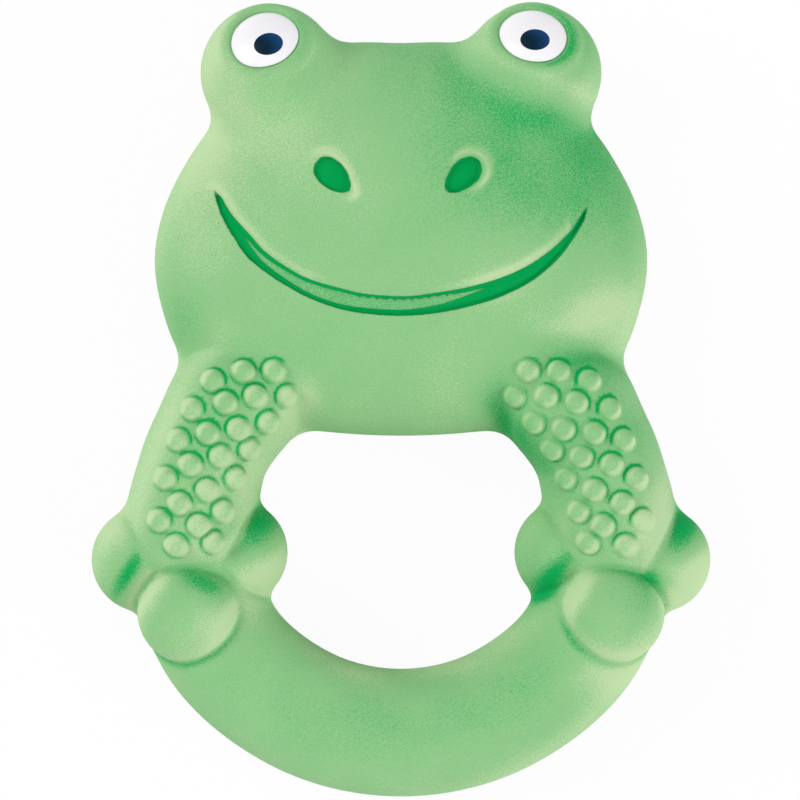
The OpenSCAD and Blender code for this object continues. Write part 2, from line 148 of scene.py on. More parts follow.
# Words for the sides, how far up and out each side's white and pupil look, and the pupil's tilt, in degrees
SIDES = {1: "right", -1: "left"}
GAZES = {1: (37.3, 0), -1: (32.6, 4.8)}
PUPIL_GAZES = {1: (27, 1.7), -1: (23, 0.2)}
PUPIL_TILT = {1: 0, -1: -16}
# Whites and pupils: widths, the pupil's share in height, and the white's egg shape with its turn
WHITE_D, PUPIL_W, PUPIL_SLIM = 9.85, 4.2, 0.79
WHITE_ANGLE = math.asin(WHITE_D / 2 / EYE_R)
WHITE_EGG, WHITE_TURN = 0.05, math.radians(40)
# Depths of the white's recess and of the groove round it, and height of the lid round that
WHITE_SINK, LID_GROOVE, LID_RISE = 0.35, 0.3, 0.4
# Paint: height over the skin and depth under it, depth of the eyes' films, heights of the white and the pupil
FILM_LIFT, FILM_SINK, EYE_FILM = 0.09, 0.2, 0.1
WHITE_RISE, WHITE_BULGE, PUPIL_EDGE, PUPIL_BULGE = 0.12, 0.3, 0.01, 0.05

# Spacing of the skin's points, before it is halved near nubs, fine lines and the parting line
PITCH = 0.5
# Reach of that finer spacing about nubs, parting line, lips, nostrils and whites
NEAR_NUB, NEAR_SEAM, NEAR_LIP, NEAR_NOSTRIL, NEAR_WHITE = 0.7, 0.6, 0.9, 1.1, 1.0
# Box in which the skins lie
NET_LOW, NET_SIZE = np.array([-46.5, -58.5, -1.5]), np.array([93, 117, 27.5])
# Inside of the shells: spacing of its points, and fillets of its forms and of its flat back
INNER_PITCH, INNER_FILLET, INNER_FLAT_FILLET = 1.2, 1.0, 0.5
# Hole for the squeaker: room round it, radius of its neck, and heights of the flange's seat and of its ends
HOLE_GAP, NECK_R, SEAT_Z, HOLE_LOW, HOLE_HIGH = 0.05, 7.5, 2.1, -2, 12


def spline(points, n, closed=False):
    """Smooth line through points, with n steps between each two."""
    p = np.array(points, float)
    p = np.vstack([p[-1:], p, p[:2]]) if closed else np.vstack([p[:1], p, p[-1:]])
    t = np.arange(n)[:, None] / n
    spans = [(2 * b + (c - a) * t + (2 * a - 5 * b + 4 * c - d) * t ** 2
              + (3 * b - a - 3 * c + d) * t ** 3) / 2
             for a, b, c, d in zip(p, p[1:], p[2:], p[3:])]
    return np.vstack(spans if closed else spans + [p[-1:]])


def head_radii():
    """Angles about the head's middle and the outline's distance at each."""
    right = np.array(HEAD_SHARES) * [HEAD_W / 2, HEAD_H] + [0, CHIN_Y]
    left = right[-2:0:-1] * [-1, 1]
    rim = spline(np.vstack([right, left]), 16, closed=True) - [0, HEAD_Y]
    angles = np.arctan2(rim[:, 1], rim[:, 0])
    order = np.argsort(angles)
    return angles[order], np.hypot(*rim.T)[order]


def ring_line():
    """Middle line of the tube's right half with its directions and the distance along it."""
    right = np.array(RING_SHARES) * [(RING_W - TUBE_W) / 2, RING_DROP - TUBE_W / 2] + [0, RING_Y]
    left = right[-2::-1] * [-1, 1]
    line = spline(np.vstack([right, left]), 24)
    way = np.gradient(line, axis=0)
    way /= np.linalg.norm(way, axis=1)[:, None]
    run = np.concatenate([[0], np.cumsum(np.linalg.norm(np.diff(line, axis=0), axis=1))])
    half = len(line) // 2 + 1
    return line[:half], way[:half], run[:half]


HEAD_ANGLES, HEAD_RADII = head_radii()
LINE, LINE_WAY, LINE_RUN = ring_line()


def in_parts(function, places, parts=24):
    """Values of a function at places, a part at a time to spare memory."""
    return np.concatenate([function(part) for part in np.array_split(places, parts)])


def squares(places, line):
    """Squared distances of places to the points of a line."""
    return ((places[:, None] - line[None]) ** 2).sum(2)


def grid_places(low, high, pitch):
    """Places of a flat grid, and how many it has each way."""
    x, y = (np.arange(low[k], high[k] + pitch, pitch) for k in (0, 1))
    return np.stack(np.meshgrid(x, y, indexing="ij"), -1).reshape(-1, 2), (len(x), len(y))


def between(tables, low, pitch, x, y):
    """Values between the entries of tables that were made over one grid."""
    rows, columns = tables[0].shape
    u = np.clip((x - low[0]) / pitch, 0, rows - 1.001)
    v = np.clip((y - low[1]) / pitch, 0, columns - 1.001)
    i, j = u.astype(int), v.astype(int)
    a, b = u - i, v - j
    return [(1 - a) * (1 - b) * table[i, j] + a * (1 - b) * table[i + 1, j]
            + (1 - a) * b * table[i, j + 1] + a * b * table[i + 1, j + 1] for table in tables]


GRID_LOW, GRID_HIGH, GRID_STEP = (-1, -60), (50, 60), 0.5


def ring_grid():
    """Distance along the tube's middle line and across it, over a grid of places on the right."""
    places, shape = grid_places(GRID_LOW, GRID_HIGH, GRID_STEP)
    nearest = in_parts(lambda part: squares(part, LINE).argmin(1), places)
    reach = places - LINE[nearest]
    way = LINE_WAY[nearest]
    along = LINE_RUN[nearest] + (reach * way).sum(1)
    across = reach[:, 1] * way[:, 0] - reach[:, 0] * way[:, 1]
    return along.reshape(shape), across.reshape(shape)


RING_TABLES = ring_grid()


def on_ring(x, y):
    """How far along the arm and ring a place on the right is, and how far across them."""
    return between(RING_TABLES, GRID_LOW, GRID_STEP, x, y)


def folded(p):
    """X as on the right side, Y, and height over the parting plane."""
    return np.abs(p[:, 0]), p[:, 1], p[:, 2] - PART_Z


def join(a, b, fillet):
    """Union of two forms, rounded by a fillet."""
    near = np.maximum(1 - np.abs(a - b) / fillet, 0)
    return np.minimum(a, b) - near ** 2 * fillet / 4


def cut(a, b, fillet):
    """What two forms share, with the edge rounded by a fillet."""
    return -join(-a, -b, fillet)


def step(value, low, high):
    """Goes smoothly from 0 at low to 1 at high."""
    t = np.clip((value - low) / (high - low), 0, 1)
    return t * t * (3 - 2 * t)


def spun(x, y, turn):
    """Places turned anticlockwise about the origin by degrees."""
    c, s = math.cos(math.radians(turn)), math.sin(math.radians(turn))
    return x * c - y * s, x * s + y * c


def bump(value, width):
    """1 at 0, falling softly to 0 on both sides."""
    return np.exp(-(value / width) ** 2)


def head_radius(x, y):
    """Distance from the head's middle to its outline towards a place."""
    return np.interp(np.arctan2(y - HEAD_Y, x), HEAD_ANGLES, HEAD_RADII, period=2 * math.pi)


def head_form(x, y, z, inset=0.0):
    """Signed distance, about, to a pillow over the head's outline."""
    front = z > 0
    radius = head_radius(x, y) - inset
    depth = np.where(front, FACE_DEPTH, BACK_DEPTH) - inset
    power = np.where(front, FACE_POWER, BACK_POWER)
    reach = np.hypot(x, y - HEAD_Y) / radius
    rise = np.abs(z) / depth
    size = np.maximum((reach ** power + rise ** power) ** (1 / power), 1e-6)
    slope = np.hypot((reach / size) ** (power - 1) / radius, (rise / size) ** (power - 1) / depth)
    return (size - 1) / np.maximum(slope, 1e-3)


def tube_form(along, across, z, width, front, end, start_round, end_round, power):
    """Signed distance, about, to a tube from the start of the ring's line to some end, both round."""
    past = np.maximum(-along, 0) / start_round + np.maximum(along - end, 0) / end_round
    rise = np.abs(z) / np.where(z > 0, front, RING_BACK)
    size = (np.abs(across / width) ** power + rise ** power + past ** power) ** (1 / power)
    return (size - 1) * width


def ball(x, y, z, middle, radius):
    return np.sqrt((x - middle[0]) ** 2 + (y - middle[1]) ** 2 + (z - middle[2]) ** 2) - radius


# Middles of the right eye, the palm, the toes and the shoulder's pad, with Z over the parting plane
EYE = (EYE_SPREAD / 2, RING_Y + EYE_RISE, EYE_LIFT)
PALM = ((RING_W - TUBE_W) / 2, RING_Y)
TOES = [(PALM[0] + a * TOE_R, PALM[1] + b * TOE_R, c * TOE_R) for a, b, c in TOE_SHARES]
SHOULDER = [np.interp(SHOULDER_ALONG, LINE_RUN, LINE[:, k]) for k in (0, 1)]


def crease_between(a, b, width):
    """1 in the crease where two forms meet, and 0 away from it or from their surfaces."""
    return bump(a - b, width) * (1 - step(np.minimum(a, b), 0.3, 1.5))


def ring_and_arm(x, y, z):
    """Signed distances, about, to the ring's tube and to the arm laid on it."""
    along, across = on_ring(x, y)
    width = TUBE_W / 2 - ARM_SLIM * bump(along - SLIM_ALONG, SLIM_REACH)
    ring = tube_form(along, across, z, width, RING_DEPTH, FAR, TUBE_W / 2, 1, TUBE_POWER)
    arm = tube_form(along, across, z, width, ARM_DEPTH, ARM_LENGTH - PALM_ROUND,
                    SHOULDER_ROUND, PALM_ROUND, ARM_POWER)
    reach = np.hypot(x - SHOULDER[0], y - SHOULDER[1]) / SHOULDER_R
    pad = ((reach ** ARM_POWER + (np.abs(z) / ARM_DEPTH) ** ARM_POWER) ** (1 / ARM_POWER) - 1) * SHOULDER_R
    return ring, join(arm, pad, ARM_FILLET)


def body(p):
    """Signed distance, about, to the skin without its fine features. The left is the right mirrored."""
    x, y, z = folded(p)
    ring, arm = ring_and_arm(x, y, z)
    skull = join(head_form(x, y, z), ball(x, y, z, EYE, EYE_R), EYE_FILLET)
    limbs = join(ring, arm, ARM_FILLET)
    low = step(z, TOP_Z, SIDE_Z)
    toe_fillet, shoulder_fillet = (top + (side - top) * low for top, side in (TOE_FILLETS, SHOULDER_FILLETS))
    for toe in TOES:
        digit = ball(x, y, z, toe, TOE_R)
        crease = TOE_CREASE * crease_between(limbs, digit, CREASE_WIDTH) * (1 - low)
        limbs = join(limbs, digit, toe_fillet) + crease
    valley = VALLEY_DEPTH * crease_between(skull, arm, VALLEY_WIDTH) * step(z, SIDE_Z, TOP_Z)
    seam = SEAM_DEPTH * bump(z, SEAM_WIDTH)
    whole = join(skull, limbs, shoulder_fillet) + valley + seam
    return cut(whole, -p[:, 2], FLAT_FILLET)


def slope(field, p, reach=0.02):
    """Direction and steepness in which a field grows."""
    return np.stack([field(p + reach * e) - field(p - reach * e) for e in np.eye(3)], 1) / (2 * reach)


def unit(v):
    return v / np.maximum(np.linalg.norm(v, axis=-1, keepdims=True), 1e-9)


def onto(p, field, rounds, most=0.4):
    """Brings points onto a field's surface, by no more than most in a round."""
    for _ in range(rounds):
        g = slope(field, p)
        move = -field(p)[:, None] * g / np.maximum((g ** 2).sum(1), 0.2)[:, None]
        size = np.linalg.norm(move, axis=1, keepdims=True)
        p = p + move * np.minimum(1, most / np.maximum(size, 1e-9))
    return p


def nub_middles():
    """Feet of the right arm's nubs under the skin, and the directions in which they stand."""
    over_arm, close, reach, upright = 3, 0.02, 0.6, 0.6
    feet = np.array([[x, y, PART_Z + ARM_DEPTH + over_arm] for x, y in NUB_PLACES])
    while (body(feet) > close).any():
        feet[:, 2] -= np.maximum(body(feet), 0) * 0.5
    ways = unit(slope(body, feet, reach) + [0, 0, upright])
    return feet - ways * NUB_SINK, ways


NUBS, NUB_WAYS = nub_middles()
NUB_BOX = (NUBS.min(0) - NUB_D, NUBS.max(0) + NUB_D)


def nub_gap(q):
    """How far along and out of each nub's axis points on the right arm are, and which way out."""
    gap = q[:, None] - NUBS[None]
    rise = (gap * NUB_WAYS[None]).sum(2)
    way = gap - rise[:, :, None] * NUB_WAYS[None]
    return rise, np.linalg.norm(way, axis=2), way


def by_nubs(p):
    """Points with the left ones mirrored, and which of them are near the nubs."""
    q = np.stack([np.abs(p[:, 0]), p[:, 1], p[:, 2]], 1)
    return q, ((q > NUB_BOX[0]) & (q < NUB_BOX[1])).all(1)


def nubs(p):
    """Signed distance, about, to the nearest nub."""
    q, near = by_nubs(p)
    far = np.full(len(p), FAR)
    if near.any():
        rise, out, _ = nub_gap(q[near])
        tall = NUB_H + NUB_SINK
        size = ((2 * out / NUB_D) ** NUB_POWER + (np.abs(rise) / tall) ** NUB_POWER) ** (1 / NUB_POWER)
        far[near] = ((size - 1) * tall).min(1)
    return far


LOWER_LINE, UPPER_LINE = (spline(line, 12) for line in (LOWER_LIP, UPPER_LIP))
LIPS_LOW, LIPS_HIGH, LIPS_STEP = (-31, 7), (31, 34), 0.1


def lip_grid():
    """Distances above the lower lip's line and below the upper lip's, over a grid of places on the face."""
    places, shape = grid_places(LIPS_LOW, LIPS_HIGH, LIPS_STEP)
    found = []
    for line, sign in ((LOWER_LINE, 1), (UPPER_LINE, -1)):
        gap = in_parts(lambda part: squares(part, line).min(1), places)
        side = np.sign(places[:, 1] - np.interp(places[:, 0], line[:, 0], line[:, 1])) * sign
        found.append((np.sqrt(gap) * side).reshape(shape))
    return found


LIP_TABLES = lip_grid()


def mouth_reach(x, y):
    """How far a place is above the lower lip's line and below the upper lip's."""
    return between(LIP_TABLES, LIPS_LOW, LIPS_STEP, x, y)


def mouth_depth(x, y):
    """How deep the mouth is pressed into the face, and how its lips roll over."""
    above, below = mouth_reach(x, y)
    inside = np.minimum(above, below)
    share = step(inside, -0.1, 0.3)
    ends = step(np.minimum(x - LOWER_LIP[0][0], LOWER_LIP[-1][0] - x), 0, 4)
    line = MOUTH_FLOOR + (MOUTH_LINE - MOUTH_FLOOR) * bump(np.maximum(inside - LIP_LINE / 2, 0), LIP_LINE / 2)
    upper_roll = UPPER_ROLL * bump(np.maximum(-below, 0), ROLL_WIDTH) * step(above, 0, 1)
    lower_bead = -LOWER_BEAD * bump(above + BEAD_DROP, BEAD_WIDTH) * step(below, 0, 1)
    return share * line + (1 - share) * (upper_roll + lower_bead) * ends


def nostril_reach(x, y):
    """How far a place is outside the nearer nostril. They are broader at their upper ends."""
    a, b = spun(np.abs(x - NOSTRIL_X) - NOSTRIL_SPREAD / 2, y - NOSTRIL_Y, -NOSTRIL_SLANT)
    u, v = a / (NOSTRIL_L / 2), b / (NOSTRIL_W / 2)
    return (np.hypot(u, v / (1 + NOSTRIL_LEAF * np.clip(u, -1, 1))) - 1) * (NOSTRIL_L + NOSTRIL_W) / 4


def rim_side(x, y):
    """1 at the upper right of a nostril, where its rim stands out, and 0 at its lower left."""
    a, b = x - NOSTRIL_X - np.sign(x - NOSTRIL_X) * NOSTRIL_SPREAD / 2, y - NOSTRIL_Y
    return step((a * 0.8 + b * 0.6) / np.maximum(np.hypot(a, b), 0.1), -0.5, 0.7)


def nostril_depth(x, y):
    """How deep the nostrils are pressed in, and how their rims stand out."""
    out = nostril_reach(x, y)
    return NOSTRIL_DEPTH * step(-out, -0.1, 0.35) - NOSTRIL_RIM * bump(out - 0.55, 0.5) * rim_side(x, y)


def gaze_frame(up, out):
    """Direction of a gaze on the right eye, and the directions across and above it."""
    up, out = math.radians(up), math.radians(out)
    axis = unit(np.array([math.sin(out) * math.cos(up), math.sin(up), math.cos(up) * math.cos(out)]))
    right = unit(np.cross([0, 1, 0], axis))
    return axis, right, np.cross(axis, right)


EYE_FRAMES = {side: gaze_frame(*gaze) for side, gaze in GAZES.items()}


def white_edge(turn):
    """Half angle of the egg-shaped white at a turn about its gaze."""
    return WHITE_ANGLE * (1 + WHITE_EGG * np.cos(2 * (turn + WHITE_TURN)))


def eye_out(x, y, z, on_right):
    """How far outside the white a place on the right dome is. The left eye's places come mirrored."""
    reach = unit(np.stack([x - EYE[0], y - EYE[1], z - EYE[2]], -1))
    ahead, across, above = ((reach * np.where(on_right[:, None], right, left)).sum(1)
                            for right, left in zip(EYE_FRAMES[1], EYE_FRAMES[-1]))
    return (np.arccos(np.clip(ahead, -1, 1)) - white_edge(np.arctan2(above, across))) * EYE_R


def eye_depth(x, y, z, on_right):
    """How deep the skin is pressed in under and round the white, with its raised lid."""
    out = eye_out(x, y, z, on_right)
    near = bump(np.maximum(np.abs(ball(x, y, z, EYE, EYE_R)) - 1, 0), 1)
    groove, lid = LID_GROOVE * bump(out - 0.1, 0.4), LID_RISE * bump(out - 1.6, 1.0)
    return near * (WHITE_SINK * step(-out, -0.35, 0.1) + groove - lid)


def skin(p):
    """Signed distance, about, to the toy's skin with its nubs, mouth, nostrils and eye sockets."""
    x, y, z = folded(p)
    whole = join(body(p), nubs(p), NUB_FILLET)
    face = z > FACE_LOW
    if face.any():
        whole[face] += mouth_depth(p[face, 0], y[face]) + nostril_depth(p[face, 0], y[face])
    domes = (y > EYE[1] - EYE_R) & (z > 0)
    if domes.any():
        whole[domes] += eye_depth(x[domes], y[domes], z[domes], p[domes, 0] > 0)
    return whole


def hollow(p):
    """Signed distance, about, to the inside of the shells."""
    x, y, z = folded(p)
    along, across = on_ring(x, y)
    ring = tube_form(along, across, z, TUBE_W / 2, RING_DEPTH, FAR, TUBE_W / 2, 1, TUBE_POWER) + WALL
    inside = join(head_form(x, y, z, WALL), ring, INNER_FILLET)
    inside = join(inside, ball(x, y, z, EYE, EYE_R - WALL), INNER_FILLET)
    return cut(inside, WALL - p[:, 2], INNER_FLAT_FILLET)


def net(field, pitch):
    """Closed mesh of four-cornered faces on a field's surface, as points and faces."""
    low = NET_LOW.copy()
    shape = np.ceil(NET_SIZE / pitch).astype(int) + 1
    low[0] = -(shape[0] - 1) * pitch / 2
    steps = np.meshgrid(*[np.arange(n) for n in shape], indexing="ij")
    values = in_parts(field, low + pitch * np.stack(steps, -1).reshape(-1, 3)).reshape(shape)
    inside = (values < 0).astype(np.int8)
    faces, owners, marks = [], [], []
    for axis in range(3):
        one, u, v = (np.eye(3, dtype=int)[(axis + k) % 3] for k in range(3))
        start = np.argwhere(np.diff(inside, axis=axis) != 0)
        here, there = values[tuple(start.T)], values[tuple((start + one).T)]
        mark = low + pitch * (start + one * (here / (here - there))[:, None])
        around = [start, start - u, start - u - v, start - v]
        cells = np.stack([np.ravel_multi_index(c.T, shape) for c in around], 1)
        faces.append(np.where((here > 0)[:, None], cells[:, ::-1], cells))
        owners.append(cells.T.ravel())
        marks.append(np.tile(mark, (4, 1)))
    faces, owners, marks = np.vstack(faces), np.concatenate(owners), np.vstack(marks)
    cells, index = np.unique(owners, return_inverse=True)
    count = np.bincount(index)
    points = np.stack([np.bincount(index, marks[:, k]) / count for k in range(3)], 1)
    return points, np.searchsorted(cells, faces)


def even(points, faces, field, rounds):
    """Slides points along the surface until their spacing is even, and keeps them on it."""
    edges = np.vstack([faces[:, [k, (k + 1) % 4]] for k in range(4)])
    edges = np.unique(np.sort(edges, 1), axis=0)
    both = np.vstack([edges, edges[:, ::-1]])
    count = np.bincount(both[:, 0])
    for _ in range(rounds):
        middle = np.stack([np.bincount(both[:, 0], points[both[:, 1], k]) / count for k in range(3)], 1)
        normal = unit(slope(field, points))
        move = middle - points
        points = points + 0.6 * (move - normal * (move * normal).sum(1)[:, None])
        points = onto(points, field, 1)
    return points


def placed(name, data):
    thing = bpy.data.objects.new(name, data)
    bpy.context.scene.collection.objects.link(thing)
    return thing


def mesh_of(name, points, faces):
    """New object from points in millimetres."""
    mesh = bpy.data.meshes.new(name)
    mesh.from_pydata((np.asarray(points) * MM).tolist(), [], [list(map(int, f)) for f in faces])
    mesh.validate()
    return placed(name, mesh)


def points_of(piece):
    """Points of a piece in millimetres."""
    co = np.empty(len(piece.data.vertices) * 3)
    piece.data.vertices.foreach_get("co", co)
    return co.reshape(-1, 3) / MM


def store(piece, name, values):
    """Keeps a value for each point of a piece."""
    layer = piece.data.attributes.new(name, "FLOAT", "POINT")
    layer.data.foreach_set("value", values.astype(np.float32))


def refine(piece, wanted):
    """Splits the faces whose corners are all wanted into four."""
    bm = bmesh.new()
    bm.from_mesh(piece.data)
    keep = wanted(points_of(piece))
    edges = [e for e in bm.edges if keep[e.verts[0].index] and keep[e.verts[1].index]]
    bmesh.ops.subdivide_edges(bm, edges=edges, cuts=1, use_grid_fill=True)
    bm.to_mesh(piece.data)
    bm.free()


def near_lines(p):
    """Where the face has fine lines: lips, nostrils' rims and the edges of the eye sockets."""
    x, y, z = folded(p)
    above, below = mouth_reach(p[:, 0], y)
    nose = np.abs(nostril_reach(p[:, 0], y)) < NEAR_NOSTRIL
    lids = (np.abs(eye_out(x, y, z, p[:, 0] > 0)) < NEAR_WHITE) & (np.abs(ball(x, y, z, EYE, EYE_R)) < 1.5)
    return (z > FACE_LOW) & ((np.minimum(above, below) > -NEAR_LIP) | nose | lids)


def halves(piece, names):
    """Cuts a closed piece at the parting plane into a back and a front with flat ends."""
    made = []
    for name, side in zip(names, (1, -1)):
        bm = bmesh.new()
        bm.from_mesh(piece.data)
        everything = bm.verts[:] + bm.edges[:] + bm.faces[:]
        bmesh.ops.bisect_plane(bm, geom=everything, plane_co=(0, 0, PART_Z * MM), plane_no=(0, 0, side),
                               dist=1e-7, clear_outer=True)
        rim = [e for e in bm.edges if e.is_boundary]
        bmesh.ops.triangle_fill(bm, edges=rim, normal=(0, 0, side))
        bmesh.ops.recalc_face_normals(bm, faces=bm.faces[:])
        mesh = bpy.data.meshes.new(name)
        bm.to_mesh(mesh)
        bm.free()
        made.append(placed(name, mesh))
    return made


def carve(piece, tool):
    """Takes a closed tool out of a closed piece."""
    modifier = piece.modifiers.new("carve", "BOOLEAN")
    modifier.operation, modifier.solver, modifier.object = "DIFFERENCE", "MANIFOLD", tool
    graph = bpy.context.evaluated_depsgraph_get()
    mesh = bpy.data.meshes.new_from_object(piece.evaluated_get(graph))
    piece.modifiers.clear()
    piece.data = mesh
    bpy.data.objects.remove(tool)


def turned(profile, n=96):
    """Closed turned solid about the squeaker's axis, from a profile of radius and height."""
    turn = np.arange(n) * 2 * math.pi / n
    points = [[r * math.cos(a), SQUEAKER_Y + r * math.sin(a), z] for r, z in profile for a in turn]
    points += [[0, SQUEAKER_Y, profile[0][1]], [0, SQUEAKER_Y, profile[-1][1]]]
    rows = len(profile)
    faces = [[i * n + k, i * n + (k + 1) % n, (i + 1) * n + (k + 1) % n, (i + 1) * n + k]
             for i in range(rows - 1) for k in range(n)]
    faces += [[rows * n, (k + 1) % n, k] for k in range(n)]
    faces += [[rows * n + 1, (rows - 1) * n + k, (rows - 1) * n + (k + 1) % n] for k in range(n)]
    return mesh_of("turned", points, faces)


def shade_smooth(piece, angle=math.radians(50)):
    """Smooth shading, with edges sharper than the angle kept sharp."""
    mesh = piece.data
    mesh.polygons.foreach_set("use_smooth", [True] * len(mesh.polygons))
    bm = bmesh.new()
    bm.from_mesh(mesh)
    for e in bm.edges:
        e.smooth = not (len(e.link_faces) == 2 and e.calc_face_angle(0) > angle)
    bm.to_mesh(mesh)
    bm.free()


# Patches of painted light and shade: middle, half length, half width, turn in degrees and strength, painted
# light above 0 and painted shade below
SHADE_AND_LIGHT_PATCHES = [
    [8.5, 39.5, 15, 9, -38, -0.5], [15, 41.5, 9, 3, -30, -0.4], [26.4, 36, 6, 4.2, -60, -0.35],
    [27, 29, 6, 6, 0, -0.35], [17, 31, 11, 9, 0, -0.3], [33, 24, 4, 7, 0, -0.4], [33, 16, 3, 4, 0, -0.35],
    [23.5, 39.5, 5, 1.8, -10, -0.4], [29.5, 35, 2.5, 5, 25, -0.2], [26, 49.5, 3.5, 4, 0, -0.35],
    [21.5, 45.2, 7, 1.9, -24, 0.6], [14, 49.5, 2.5, 4, 0, 0.3], [-13.6, 45.5, 3.5, 3, 0, -0.2],
    [-16, 37, 13, 10, 0, 0.4], [-9, 47, 5, 4, 0, 0.2], [-26.3, 36, 6, 5, 60, 0.2],
    [-25, 43.5, 4, 5, 0, 0.4], [-29, 23, 6, 8, 0, 0.35], [-26, 51, 3.5, 4, 0, 0.3],
    [-33, 24, 2.5, 9, 0, -0.2], [-31, 11, 7, 3.5, -60, -0.55], [27.5, 12.5, 9, 4, 30, 0.85],
    [15, 16.5, 6, 4, 25, 0.5], [9, 3, 9, 8, 0, 0.25], [25, 6.4, 7, 1.9, -14, -0.6],
    [25, 4.6, 6, 2, -20, -0.3], [14.2, 3, 5, 2.2, 65, -0.3], [17, -6, 8, 2.4, -52, -0.75],
    [24, -1, 9, 6.5, -60, -0.25], [33, -3, 7, 2.5, -65, -0.3], [20.6, -13, 2.5, 4, 0, -0.4],
    [15.5, -3, 2.6, 5, 35, -0.5], [17, -21, 3, 5, 0, -0.4], [35.2, -18, 8, 2.6, 70, 0.85],
    [-25.5, -12, 9, 4.5, 62, 0.6], [-28, -3.5, 7, 2.5, 62, -0.4], [-33, -7, 12, 3.2, 65, 0.35],
    [-14.3, 0, 3, 3.5, 0, 0.7], [-27, 7.5, 5, 2.5, 20, 0.5], [-27, -21.5, 4.5, 2.4, -10, 0.4],
    [29.5, -38, 5, 4, 0, 0.4], [0, -44.5, 17, 5, 0, -0.3], [18, -40, 10, 4.5, 32, -0.3],
    [-19, -40, 10, 4.5, -32, -0.15], [-10, -36.6, 11, 1.7, -28, 0.5], [2, -38.4, 9, 1.5, 3, 0.5]
]
# Those of the toes and of the ring beside them, which don't reach onto the arms
TOE_SHADE_AND_LIGHT_PATCHES = [
    [39.8, -18.2, 5.5, 2.6, 66, -1.35], [41.5, -24.5, 4.5, 4, 0, 0.9], [38.3, -27.5, 2, 4, 10, 1],
    [34.8, -25, 5, 1.6, -18, -1.2], [34, -28, 5, 3, -25, -0.5], [30, -38, 7, 3, 20, 0.4],
    [24.7, -27, 4.5, 1.8, 68, 0.7], [22.2, -24.5, 4.5, 1.6, 55, -1], [19.6, -27, 4, 2.2, 45, -1],
    [-20.5, -18.2, 6, 2.8, 55, -1.2], [-20, -24.8, 4, 4, 0, 1], [-21.5, -28, 2.5, 2, 0, 0.4],
    [-27.8, -25.7, 5.5, 1.7, -25, -1.1], [-26.5, -32, 4.5, 3.5, 30, 0.6],
    [-38.6, -24.5, 5.5, 1.4, 59, -1.4], [-36.2, -26, 4.5, 2, 60, 0.9], [-40, -18, 3.5, 3.5, 0, 0.4]
]
# Directions to the lower right and to the upper right, by which slopes get painted light and shade
PAINTED_LIGHT_ACROSS, PAINTED_LIGHT_AND_SHADE_ALONG = (0.87, -0.5, 0), (0.5, 0.87, 0)


def patches(p, table):
    """Sum of a table's soft oval patches."""
    tone = np.zeros(len(p))
    for x, y, length, width, turn, strength in table:
        a, b = spun(p[:, 0] - x, p[:, 1] - y, -turn)
        tone += strength * bump(np.hypot(a / length, b / width), 1)
    return tone


def nub_shade_and_highlights(p):
    """Painted shade in crescents over the nubs, or to their right on the right arm's inner side, and painted
    highlights on their crowns.
    """
    q, near = by_nubs(p)
    tone = np.zeros(len(p))
    _, out, way = nub_gap(q[near])
    across, up = way[:, :, 0], way[:, :, 1]
    right = p[near, :1] > 0
    lean = np.clip(on_ring(*NUBS[:, :2].T)[1] / 5, -0.9, 0.9)
    out_there = np.maximum(out, 0.1)
    upper = (up - across * lean) / np.hypot(lean, 1) / out_there
    inner = (across * 0.9 + up * np.where(lean < -0.4, -0.35, 0.75)) / out_there
    facing = np.where(right & (lean < 0.2), inner, upper)
    lower = (across * (0.6 - 0.4 * lean) - up * (0.65 + 0.35 * lean)) / out_there
    shine = (across * 0.75 + up * np.where(right, -0.65, 0.65)) / out_there
    edge = out / (NUB_D / 2)
    share = np.where(right, 0.8 + 0.35 * lean, 1.05 - 0.15 * lean)
    deep = share * step(facing, 0, 0.7) + np.where(right, 0, 0.6) * step(lower, 0.3, 0.8)
    deep = deep * bump(edge - 1.02, 0.13)
    pale = (0.85 * step(shine, 0, 0.9) + 0.45 * step(-shine, 0, 0.9)) * bump(edge - 0.7, 0.25)
    pale += 0.2 * bump(edge, 0.75)
    tone[near] = pale.sum(1) - 1.6 * np.minimum(deep.sum(1), 1)
    return tone


def face_shade_and_highlights(p):
    """Painted highlights on rims over lips and nostrils, painted shade in a band between the lips, and
    painted shade in fringes round the whites.
    """
    x, y, z = folded(p)
    above, below = mouth_reach(p[:, 0], y)
    right = 0.8 * step(p[:, 0], 3, 14) * step(26.5, p[:, 0], 24)
    left = 0.5 * step(-p[:, 0], 8, 14) * step(-27, -p[:, 0], -25)
    lips = (right + left) * bump(below + 0.65, 0.6) - 0.55 * step(np.minimum(above, below), -0.1, 0.4)
    rims = 1.15 * bump(nostril_reach(p[:, 0], y) - 0.8, 0.55) * rim_side(p[:, 0], y)
    out = eye_out(x, y, z, p[:, 0] > 0)
    outer = (x - EYE[0]) / EYE_R
    share = np.where(p[:, 0] > 0, 0.1 + 0.6 * step(outer, -0.35, 0.3), 0.35 * step(-outer, 0.2, 0.5))
    fringe = share * bump(out - 0.6, 0.6)
    dome = np.abs(ball(x, y, z, EYE, EYE_R)) < 1.2
    return np.where(z > FACE_LOW, lips + rims, 0) - np.where(dome, fringe, 0)


def toe_shade_and_highlights(p):
    """Painted highlight on a rim and painted shade in a line at the front toe's lower edge, and at the inner
    toe's edge on the ring.
    """
    x, y, z = folded(p)
    ring, arm = ring_and_arm(x, y, z)
    outer, inner, front = (ball(x, y, z, toe, TOE_R) for toe in TOES)
    gap = np.min([ring, arm, outer, inner], axis=0) - front
    drop = (TOES[2][1] - y) / TOE_R
    rim = 0.3 * bump(gap - 1.4, 1.0) * step(drop, -0.9, -0.5)
    line = 0.85 * bump(gap + 0.25, 0.55) * step(drop, -0.3, 0.4)
    gap = ring - inner
    by_ring = step(np.minimum(front, arm), 0.2, 1.5) * step(TOES[1][1] - y, 0, 0.4 * TOE_R)
    return rim - line + (0.3 * bump(gap - 0.8, 0.8) - 0.45 * bump(gap + 0.7, 0.8)) * by_ring


